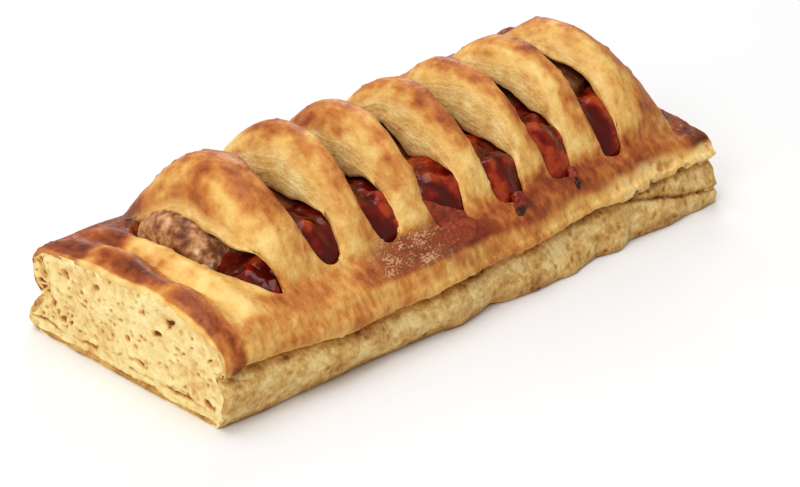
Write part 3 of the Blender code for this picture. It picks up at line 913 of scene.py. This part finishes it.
class Wire:
    """An output of a shader node; arithmetic on it adds Math nodes."""

    def __init__(self, tree, socket):
        self.tree = tree
        self.socket = socket

    def maths(self, operation, *values):
        node = self.tree.nodes.new("ShaderNodeMath")
        node.operation = operation
        for place, value in zip(node.inputs, values):
            plug(self.tree, place, value)
        return Wire(self.tree, node.outputs[0])

    def __add__(self, other):
        return self.maths("ADD", self, other)

    def __sub__(self, other):
        return self.maths("SUBTRACT", self, other)

    def __rsub__(self, other):
        return self.maths("SUBTRACT", other, self)

    def __mul__(self, other):
        return self.maths("MULTIPLY", self, other)

    __radd__ = __add__
    __rmul__ = __mul__

    def clamp(self):
        return self.maths("MINIMUM", self.maths("MAXIMUM", self, 0), 1)

    def step(self, low, high):
        """Smoothstep from low to high."""
        return build(self.tree, "MapRange", {"interpolation_type": "SMOOTHSTEP"},
                     {"Value": self, "From Min": low, "From Max": high})


def build(tree, kind, settings, inputs, output=0):
    """Adds a node of a kind, sets its settings, feeds its inputs and hands back one output."""
    node = tree.nodes.new("ShaderNode" + kind)
    for key, value in settings.items():
        setattr(node, key, value)
    for key, value in inputs.items():
        plug(tree, node.inputs[key], value)
    return Wire(tree, node.outputs[output])


def linear(levels):
    """A colour of 0 to 255 levels as the renderer's linear light."""
    share = np.array(levels) / 255
    light = np.where(share <= 0.04045, share / 12.92, ((share + 0.055) / 1.055) ** 2.4)
    return (*light.tolist(), 1)


def blend(tree, share, first, second):
    """Mixes two colours by a share; each is a wire, or three levels."""
    node = tree.nodes.new("ShaderNodeMix")
    node.data_type = "RGBA"
    plug(tree, node.inputs[0], share)
    for socket, colour in ((6, first), (7, second)):
        plug(tree, node.inputs[socket], colour if isinstance(colour, Wire) else linear(colour))
    return Wire(tree, node.outputs[2])


def ramp(tree, share, stops):
    """A colour ramp through stops of a place and three levels."""
    node = tree.nodes.new("ShaderNodeValToRGB")
    elements = node.color_ramp.elements
    while len(elements) < len(stops):
        elements.new(0.5)
    for element, (place, *levels) in zip(elements, stops):
        element.position = place
        element.color = linear(levels)
    plug(tree, node.inputs[0], share)
    return Wire(tree, node.outputs[0])


def attribute(tree, name):
    """A number kept with the mesh's points."""
    return build(tree, "Attribute", {"attribute_name": name}, {}, 2)


def object_place(tree):
    """Object coordinates, in metres."""
    return build(tree, "TexCoord", {}, {}, 3)


def grain(tree, size, detail=3, stretch=(1, 1, 1)):
    """Noise from 0 to 1 with lumps of a size in millimetres, stretched along each axis."""
    spot = build(tree, "Mapping", {}, {"Vector": object_place(tree),
                                       "Scale": tuple(1 / s for s in stretch)})
    return build(tree, "TexNoise", {}, {"Vector": spot, "Scale": MM / size, "Detail": detail})


def cells(tree, size):
    """Distance from scattered centres about a size in millimetres apart."""
    return build(tree, "TexVoronoi", {}, {"Vector": object_place(tree), "Scale": MM / size})


def relief(tree, height, distance, strength=1):
    """Bump from a height of 0 to 1 that stands for a distance in millimetres."""
    return build(tree, "Bump", {}, {"Height": height, "Distance": distance / MM,
                                    "Strength": strength})


def finish(looks):
    """A Principled material named after looks, a function that returns the inputs to feed."""
    made = bpy.data.materials.new(looks.__name__)
    made.use_nodes = True
    tree = made.node_tree
    for key, value in looks(tree).items():
        plug(tree, tree.nodes["Principled BSDF"].inputs[key], value)
    return made


# ---- materials
def baked_crust_looks(tree):
    """Baked pastry: a ramp from cream to dark brown read at the browning, with pale layers at the
    cut edges, a frosted patch and a stain over it."""
    cut = attribute(tree, "cut")
    gloss = attribute(tree, "gloss")
    mottle = grain(tree, 9, 5) - 0.5
    speck = grain(tree, 2.4, 6, (0.7, 1.5, 1.5)) - 0.5
    share = (attribute(tree, "brown") + mottle * 0.75 + speck * 0.65).clamp()
    colour = ramp(tree, share, [(0, 244, 212, 136), (0.25, 230, 180, 98),
                                (0.5, 202, 128, 60), (0.75, 158, 76, 34), (1, 96, 38, 18)])
    lines = layers(tree, attribute(tree, "across"))
    share = (lines * 0.5 + speck * 0.8 + mottle * 0.6 + 0.15).clamp()
    pale = ramp(tree, share, [(0.1, 196, 134, 66), (0.38, 236, 188, 110), (0.6, 250, 218, 146)])
    colour = blend(tree, cut, colour, pale)
    frost = attribute(tree, "frost")
    branch = grain(tree, 0.55, 6) + 0.7 * (grain(tree, 4, 4) - 0.5) + 0.08 * frost
    flecks = frost * branch.step(0.56, 0.64)
    colour = blend(tree, frost * 0.5, colour, (152, 74, 40))
    colour = blend(tree, flecks * 0.6, colour, (228, 172, 126))
    stain = attribute(tree, "stain") * grain(tree, 2.2, 4).step(0.25, 0.55)
    colour = blend(tree, stain, colour, (122, 40, 20))
    height = grain(tree, 3, 4) * 0.5 + grain(tree, 0.9, 3) * 0.28
    height = height + flecks * 0.3 + lines * cut * 0.22
    return {"Base Color": colour,
            "Roughness": 0.58 - 0.18 * gloss + 0.3 * mottle + 0.2 * flecks,
            "Coat Weight": 0.05 * gloss, "Coat Roughness": 0.25,
            "Specular IOR Level": 0.24, "Specular Tint": (1, 0.80, 0.56, 1),
            "Normal": relief(tree, height, 1)}


def layers(tree, across):
    """Thin layers along a cut edge: noise stretched out along it, read at the distance from it."""
    place = object_place(tree)
    y, z = [build(tree, "SeparateXYZ", {}, {"Vector": place}, axis) for axis in (1, 2)]
    spot = build(tree, "CombineXYZ", {}, {"X": across * 1.1, "Y": y * 60, "Z": z * 60})
    return build(tree, "TexNoise", {}, {"Vector": spot, "Scale": 1, "Detail": 3})


def flaky_base_looks(tree):
    """The base's pale flaky side: a ramp from cream to brown, read at the browning and noise."""
    mottle = grain(tree, 4, 5, (1.6, 1, 1)) - 0.5
    speck = grain(tree, 1.2, 4) - 0.5
    share = (attribute(tree, "brown") + mottle * 1.1 + speck * 0.8).clamp()
    colour = ramp(tree, share, [(0, 238, 208, 140), (0.25, 216, 172, 100),
                                (0.5, 188, 136, 68), (0.75, 150, 92, 42), (1, 90, 48, 22)])
    height = grain(tree, 2, 5) * 0.7 + grain(tree, 0.8, 3) * 0.35
    return {"Base Color": colour, "Roughness": 0.66, "Specular IOR Level": 0.25,
            "Normal": relief(tree, height, 0.9)}


def crumb_looks(tree):
    """Torn crumb, coloured by its relief as painted shade: cream on the lumps, tan between them,
    and orange brown in the holes.
    """
    lump = attribute(tree, "lump")
    # painted shade and light: paler on the raised lumps and darker in the hollows
    soft = (grain(tree, 2.2, 5) - 0.5) * 0.9 - 0.35 * lump + 0.38
    share = (soft + attribute(tree, "hollow") * 0.75).clamp()
    colour = ramp(tree, share, [(0.1, 252, 236, 172), (0.4, 243, 214, 142),
                                (0.65, 222, 172, 98), (0.85, 184, 112, 50), (1, 126, 66, 28)])
    height = grain(tree, 1.4, 4) * 0.7 + cells(tree, 1) * 0.3
    return {"Base Color": colour, "Roughness": 0.7, "Specular IOR Level": 0.25,
            "Normal": relief(tree, height, 0.7)}


def browned_meat_looks(tree):
    """Browned meat: smooth and dark along its skin, mottled grey brown where it is torn."""
    torn = attribute(tree, "torn")
    skin = blend(tree, grain(tree, 6, 5).step(0.35, 0.7), (78, 34, 15), (132, 68, 32))
    # the torn meat's mottle is its own, and it is paler on its raised lumps as painted light
    share = (grain(tree, 1.8, 6) + 0.45 * attribute(tree, "lump") - 0.02).clamp()
    meat = ramp(tree, share, [(0.2, 104, 52, 26), (0.42, 164, 104, 60),
                              (0.6, 208, 154, 104), (0.8, 232, 196, 152)])
    return {"Base Color": blend(tree, torn, skin, meat), "Roughness": 0.28 + 0.30 * torn,
            "Coat Weight": 0.5 - 0.45 * torn, "Specular IOR Level": 0.4,
            "Normal": relief(tree, grain(tree, 1.4, 5), 0.7, 0.9)}


def red_sauce_looks(tree):
    """Glossy red sauce, softly lumped, with painted shade: darker in its hollows and lighter on its
    lumps.
    """
    # painted shade and light: the colour follows the lumps' height as well as noise
    shade = (grain(tree, 3, 4) + 0.45 * attribute(tree, "lump")).step(0.25, 0.80)
    colour = ramp(tree, shade, [(0, 80, 10, 3), (0.5, 126, 23, 7), (1, 168, 60, 25)])
    height = grain(tree, 1.4, 2) * 0.12 + grain(tree, 2.8, 1)
    return {"Base Color": colour, "Roughness": 0.09, "Coat Weight": 0.22, "Coat Roughness": 0.03,
            "Specular IOR Level": 0.25, "Specular Tint": (1, 0.62, 0.50, 1),
            "Normal": relief(tree, height, 0.6, 0.9)}


def baked_sauce_looks(tree):
    """Sauce baked on the brim: red where it left the slit, darker where it is thick, and nearly
    black at its burnt end."""
    burn = attribute(tree, "burn")
    thin = attribute(tree, "thin")
    char = (burn + 0.8 * (grain(tree, 1.6, 4) - 0.5)).step(0.35, 0.95)
    shade = grain(tree, 2, 4).step(0.3, 0.7)
    red = blend(tree, thin, blend(tree, shade, (104, 22, 8), (148, 50, 24)),
                blend(tree, shade, (118, 36, 16), (158, 66, 36)))
    dark = blend(tree, thin, (58, 18, 9), (138, 56, 30))
    return {"Base Color": blend(tree, char, red, dark), "Roughness": 0.18 + 0.10 * burn,
            "Coat Weight": 0.08, "Coat Roughness": 0.05,
            "Specular IOR Level": 0.28, "Specular Tint": (1, 0.66, 0.55, 1),
            "Normal": relief(tree, cells(tree, 1.1), 0.4, 0.8)}


def floor_looks(tree):
    """Plain pale floor."""
    return {"Base Color": (0.86, 0.86, 0.86, 1), "Roughness": 0.9}


# ---- browning
# How much the browning adds at places along the roll: over the strips' far halves, behind the
# crest, and over the front brim.
STRIP_BROWN = [(-60, 0.44), (-50, 0.50), (-31, 0.50), (-12, 0.54), (8, 0.50),
               (26, 0.54), (45, 0.66), (60, 0.50), (68, 0.66), (85, 0.66)]
CREST_BROWN = [(-58, 0.44), (-50, 0.36), (-36, 0.02), (-26, 0.14), (-17, 0.46),
               (-8, 0.34), (4, 0.12), (26, 0.14), (42, 0.16), (60, 0.16), (70, 0.36)]
BRIM_BROWN = [(-85, 0.45), (-72, 0.42), (-64, 0.42), (-59, 0.53), (-48, 0.52),
              (-42, 0.52), (-36, 0.68), (-30, 0.80), (-8, 0.88), (4, 0.84),
              (16, 0.78), (34, 0.72), (46, 0.66), (60, 0.64), (76, 0.70), (85, 0.76)]


def crust_values(grid, sides):
    """Browning, cut edges, gloss, frost and stain over the top sheet: sums of noise, tables read
    along the roll and smoothsteps of where a point lies, mixed from one part to the next. The
    browning also carries painted shade inside the slits and in the valley at the near end, and
    painted light in the front crimp groove."""
    x, y, z = axes(grid)
    across = sides["across"]
    share = sides["share"]
    inside = sides["inside"]
    rise = z - brim(x, y)
    over = smooth(rise, 1.5, 7)
    crest = smooth(z, 30, 42)
    blotch = rough(grid, 14, 101, 3)
    fine = rough(grid, 4.5, 105, 3)
    patch = smooth(blotch + 0.45 * fine, -0.25, 0.25)
    strip = 0.27 + 0.22 * fine + 0.14 * blotch
    far_half = np.interp(x, *zip(*STRIP_BROWN)) * smooth(share, 0.30, 0.66)
    strip = strip + far_half * (0.35 + 0.65 * crest) * (0.55 + 0.60 * patch)
    strip = strip + 0.20 * smooth(share, 0.86, 1)
    top = np.interp(x, *zip(*CREST_BROWN)) * smooth(y + 2.5 * fine, -5, 5)
    strip = strip + top * (0.5 + 0.5 * patch)
    strip = strip + 0.22 * smooth(x, 61, 69)
    strip = -soft_max(-strip, -0.66 - 0.10 * fine, 0.14)
    amount = np.interp(x, *zip(*BRIM_BROWN))
    front = smooth(-y + 1.4 * fine, 22.6, 26.6)
    flat = 0.24 + (amount - 0.24) * front + 0.20 * fine + 0.16 * blotch
    back = smooth(y + 2 * blotch, 11, 17)
    flat = mix(flat, 0.86 + 0.08 * fine, back)
    far = smooth(x + 3 * blotch, 72, 79)
    flat = mix(flat, 0.90 + 0.12 * fine, far)
    brown = mix(flat, strip, over)
    reach = 1.3 + 1.1 * smooth(-x, -20, 10) + 0.5 * fine
    pale = fade(y - rim_reach(x), reach - 1, reach + 0.3) * (y < 0)
    brown = mix(brown, 0.42 - 0.14 * smooth(x, 0, 40) + 0.20 * fine, pale)
    # painted light: the crust in the front crimp groove is made paler to offset the shade under the
    # rim
    groove = bump(z, groove_height(x) + 0.3, 0.9) * (y < -25) * fade(x, 42, 50)
    brown = brown - 0.22 * groove
    end = fade(x, -71, -66) * fade(y, 8, 16) * smooth(y, -30.5, -27.5)
    tongue = 0.28 + 0.56 * bump(x, NEAR_RIDGE_X - 1.6, 3.2)
    # partly painted shade: the valley behind the near ridge is darkened, partly as its own browning
    # and partly as the shade in the crease
    tongue = tongue + 0.34 * bump(x, NEAR_VALLEY_X - 1, 2.4) * smooth(y, -6, 8)
    tongue = tongue - 0.14 * bump(x, NEAR_LIP_X - 2, 3.4) + 0.26 * blotch + 0.20 * fine
    brown = mix(brown, tongue, end)
    corner = bump(x, -79.5, 3.2) * smooth(-y, 24, 29) * smooth(z, 9, 12)
    brown = np.maximum(brown, (0.78 + 0.15 * fine) * corner)
    brown = brown - 0.35 * fade(HALF - np.abs(x), 0.5, 1.3 + 0.5 * fine)
    behind = fade(x, -81, -75) * fade(z, 15, 21) * (y > 20)
    brown = mix(brown, 0.22, behind)
    cut = (across > -12) * fade(across + fine, 0.6 + 1.6 * crest, 1.6 + 3.2 * crest)
    cut = cut * smooth(rise, 1, 4)
    torn = smooth(x, 42, 50) * pale
    cut = np.maximum(cut * (1 - inside), torn)
    # painted shade: the crust down inside the slits, past the hanging cut edge, is browned nearly
    # to the darkest
    brown = mix(brown, 0.96, inside)
    gloss = (0.25 + 0.75 * smooth(brown, 0.40, 0.75)) * (1 - cut)
    gloss = gloss * (1 - 0.9 * pale) * (1 - 0.6 * inside)
    frost = smooth(x, -38, -30) * fade(x, -8, 2) * smooth(-y, 23, 25.5) * (1 - pale)
    stain = np.exp(-((x + 4.5) / 8.5) ** 4) * smooth(-y, 25, 27.5) * (1 - 0.75 * pale)
    spot = bump(x, -6, 3.6) * bump(z, groove_height(x) + 0.5, 1.5) * (y < -25)
    stain = np.maximum(stain, spot)
    return {"brown": brown, "cut": cut, "gloss": gloss, "frost": frost, "stain": stain,
            "across": across}, torn


# ---- pieces
def add(piece, material, node):
    """Gives a piece its material and puts it in the place of a node's solid."""
    piece.data.materials.append(material)
    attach(piece, "root")
    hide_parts(node)


def make_top():
    """The top sheet, moved along its normals by noise: waves, blisters at scattered centres,
    layers along the cut edges, ribs on the band, and lumps and pits where it is torn."""
    grid, sides = crust_top()
    grid = turn_in_ends(grid)
    x, y, z = axes(grid)
    values, torn = crust_values(grid, sides)
    out = directions(grid)
    first, _, number = patches(grid, 2.3, 131)
    blister = smooth(0.5 - first, 0, 0.35) * smooth(number, 0.62, 0.75) * (1 - values["cut"])
    stretched = stack(values["across"], 0.14 * y, 0.14 * z)
    lines = rough(stretched, 1.2, 135, 2) * values["cut"] * (1 - torn)
    band = fade(y - rim_reach(x), 0.6, 2.6) * (y < 0)
    ribs = rough(grid * np.array([1, 0.2, 0.2]), 1.1, 137, 2) * band * (1 - torn)
    bubble, _, chance = patches(grid + 0.8 * noise(grid, 3, 140)[..., None], 3.4, 133)
    pit = 1.5 * smooth(chance, 0.35, 0.45) * smooth(0.5 - bubble, 0, 0.25)
    pits = torn * (0.5 * rough(grid, 2, 139, 3) - pit)
    wavy = 0.55 * rough(grid, 11, 121, 2) + 0.24 * rough(grid, 3.6, 125, 2) + 0.30 * blister
    wavy = (wavy + 0.05 * lines + 0.22 * ribs + pits) * (1 - 0.8 * sides["inside"])
    grid = rough_ends(grid + out * wavy[..., None])
    add(shell("crust_top", grid, values), finish(baked_crust_looks), "pastry")


def seam_height(x):
    """Height of the seam that opens in the base's side towards the far end, painted dark as shade.
    """
    return np.interp(x, [33, 44, 57, 69, 80, 85], [12.9, 12.2, 9.3, 6.2, 4.6, 4.2])


def make_base():
    """The base, moved along its normals: flakes with a step at each edge, streaks, pits, and a
    seam that opens at the far end, with torn crumb over it."""
    grid, side = crust_base()
    grid = turn_in_ends(grid)
    out = directions(grid)
    x, y, z = axes(grid)
    bent = grid + 1.2 * stack(noise(grid, 3.5, 151), 0, noise(grid, 3.5, 152))
    first, second, number = patches(bent / np.array([1.7, 1, 1.1]), 4.2, 141)
    flake = (number - 0.5) * 0.9 + 0.25 * smooth(second - first, 0, 0.15)
    streak = rough(grid * np.array([1, 0.3, 0.3]), 1.6, 147, 2)
    fine = rough(grid, 6, 149, 3)
    open_part = smooth(x, 36, 46) * (y < 0)
    seam = bump(z, seam_height(x) + 0.4 * fine, 0.45) * open_part
    above = smooth(z - seam_height(x), 0.2, 1) * open_part
    hole, _, chance = patches(bent, 2.3, 157)
    pit = smooth(chance, 0.55, 0.62) * smooth(0.48 - hole, 0, 0.3)
    wavy = flake * 0.6 + 0.35 * rough(grid, 9, 145, 2) + 0.16 * streak
    wavy = wavy - 0.5 * pit * (0.3 + above) - 1.1 * seam + above * 0.6 * rough(grid, 2.6, 159, 3)
    grid = rough_ends(grid + out * (wavy * side)[..., None])
    groove = groove_height(x)
    # painted shade: the pits and the seam are browned darker as shade in these recesses
    brown = 0.20 + 0.14 * fine + 0.30 * (number - 0.5) * (1 - above) + 0.30 * pit + 0.55 * seam
    brown = brown + 0.26 * fade(z, 0.3, 3.2) + 0.25 * smooth(z, groove - 2.2, groove - 0.4)
    brown = brown + 0.12 * clamp(-2 * flake)
    material = finish(flaky_base_looks)
    add(shell("crust_base", grid, {"brown": brown}), material, "pastry")


# Each spill: its name, its left and right edge curves, its thickness and its first seed.
SPILLS = [("overflow",
           [(-12.2, -21.8), (-10.6, -23.4), (-9.4, -25.4), (-11.2, -28.2), (-11, -31)],
           [(-0.6, -24.2), (0, -26.2), (-0.6, -28.8), (-3.4, -31), (-7.6, -31.4)],
           0.4, 161),
          ("drip_near",
           [(14.9, -25.4), (13.7, -27.1), (12.3, -29.1), (12.2, -31)],
           [(19, -25.8), (18.3, -27.6), (15.9, -29.7), (13.2, -31.1)],
           1.2, 165),
          ("drip_far",
           [(35.7, -24.7), (34.9, -26.7), (34.5, -28.6), (34.6, -29.6)],
           [(38.4, -25.4), (37.6, -27.4), (36.4, -29.2), (35.2, -29.8)],
           1.1, 169)]

make_top()
make_base()
crumb_material = finish(crumb_looks)
for sign, name, seed in ((-1, "crumb_near", 181), (1, "crumb_far", 187)):
    add(slab(name, *crumb(sign, seed)), crumb_material, "pastry")
add(shell("sausage_skin", *sausage()), finish(browned_meat_looks), "sausage")
add(shell("sauce_ribbon", *sauce()), finish(red_sauce_looks), "sauce")
spill_material = finish(baked_sauce_looks)
for name, left, right, thickness, seed in SPILLS:
    piece = shell(name, *spill(left, right, thickness, seed))
    add(piece, spill_material, "sauce")

# ---- floor, lights and camera
floor_mesh = bpy.data.meshes.new("floor")
floor_mesh.from_pydata([(-2, -2, 0), (2, -2, 0), (2, 2, 0), (-2, 2, 0)], [], [(0, 1, 2, 3)])
floor_mesh.materials.append(finish(floor_looks))
floor = add_object("floor", floor_mesh)


def lamp(name, place, size, power):
    """A square soft light at a place, aimed at the roll."""
    light = bpy.data.lights.new(name, "AREA")
    light.size = size
    light.energy = power
    item = add_object(name, light)
    item.location = place
    item.rotation_euler = (LAMP_AIM - Vector(place)).to_track_quat("-Z", "Y").to_euler()


LAMP_AIM = Vector((0, 0, 0.02))
lamp("overhead", (-0.1, 0.1, 0.75), 0.6, 3.5)
lamp("key", (-0.75, -0.25, 0.55), 0.4, 3.3)
lamp("rim", (0.55, 0.55, 0.45), 0.35, 2.2)

world = bpy.data.worlds.new("room")
world.use_nodes = True
room = world.node_tree.nodes["Background"].inputs
room["Color"].default_value = (1, 1, 1, 1)
room["Strength"].default_value = 0.4
bpy.context.scene.world = world
bpy.context.scene.view_settings.view_transform = "Standard"

TARGET = Vector((-17.46, -21.17, 17.74)) / MM
DISTANCE = 532.2 / MM
FOCAL_LENGTH = 102.375
SENSOR_WIDTH = 36
TURN = math.radians(-45)
TILT = math.radians(25.8)
back = Vector((math.sin(TURN) * math.cos(TILT), -math.cos(TURN) * math.cos(TILT), math.sin(TILT)))
lens = bpy.data.cameras.new("camera")
lens.lens = FOCAL_LENGTH
lens.sensor_width = SENSOR_WIDTH
lens.clip_start = 0.01
camera = add_object("camera", lens)
camera.location = TARGET + back * DISTANCE
camera.rotation_euler = back.to_track_quat("Z", "Y").to_euler()
bpy.context.scene.camera = camera
